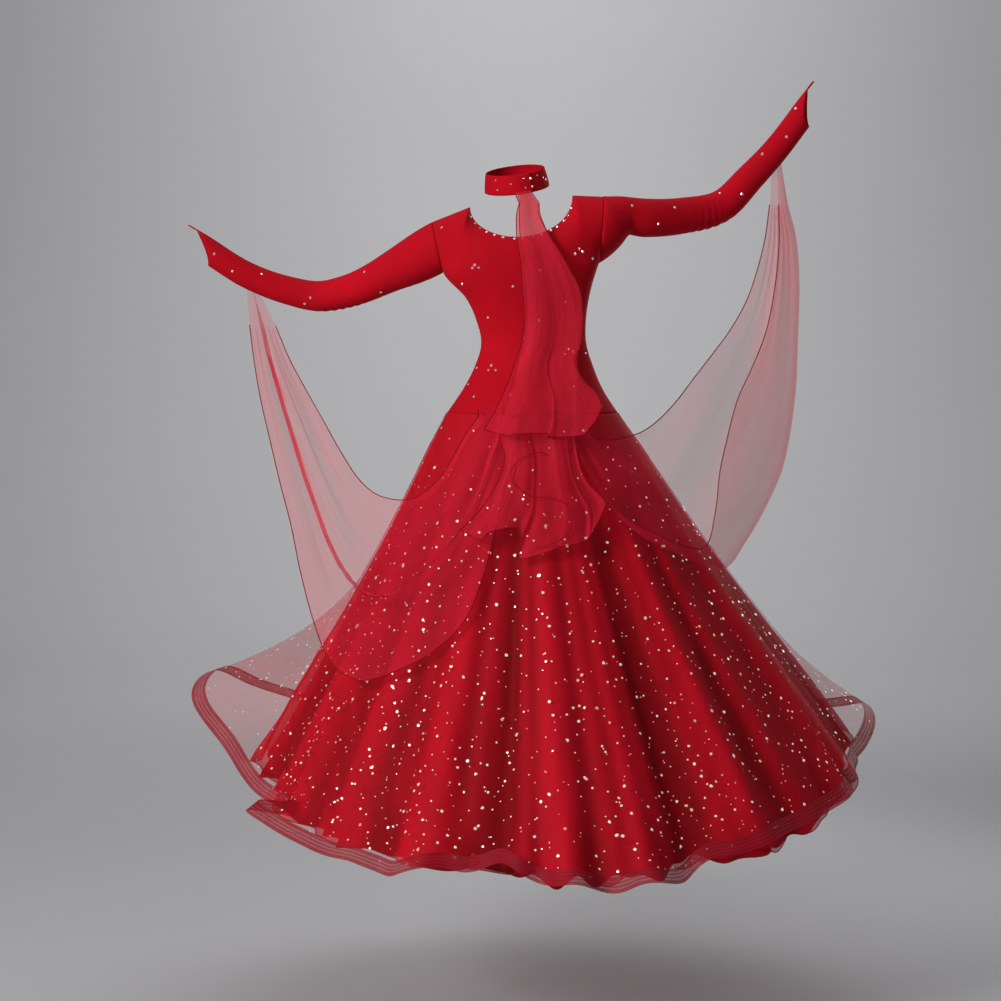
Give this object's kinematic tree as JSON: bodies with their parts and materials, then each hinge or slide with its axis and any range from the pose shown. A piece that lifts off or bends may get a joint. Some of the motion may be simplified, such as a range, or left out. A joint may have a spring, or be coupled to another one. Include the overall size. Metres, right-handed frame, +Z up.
{
  "type": "ballroom dance dress",
  "caption": "Floor-length ballroom dress worn with arms out: fitted bodice, point sleeves, choker with two floats, sheer sleeve wings and a flared layered skirt.",
  "frame": {"origin": "middle of the neckline opening at shoulder height, where the wearer's shoulders carry the dress", "axes": "+Z up; +X towards the wearer's right; -Y towards the wearer's back, the side with the floats, and +Y towards the wearer's front"},
  "size_m": [1.3013, 1.0924, 1.3772],
  "materials": {
    "jersey": "matt stretch jersey, deep red",
    "satin": "soft satin, red",
    "organza": "crisp sheer organza, red",
    "tulle": "sheer tulle with scattered foil dots, red",
    "braid": "stiff horsehair braid, dark red"
  },
  "bodies": {
    "root": {"bodice_back": "jersey", "bodice_front": "jersey", "sleeve_left": "jersey", "sleeve_right": "jersey", "finger_loop_left": "jersey", "finger_loop_right": "jersey", "collar": "jersey", "neck_float_short": "organza", "neck_float_long": "organza", "wing_left": "organza", "wing_right": "organza", "underskirt_back": "satin", "underskirt_front": "satin", "middle_skirt_back": "organza", "middle_skirt_front": "organza", "outer_skirt_back": "tulle", "outer_skirt_front": "tulle", "hem_braid_back": "braid", "hem_braid_front": "braid"}
  },
  "joints": []
}
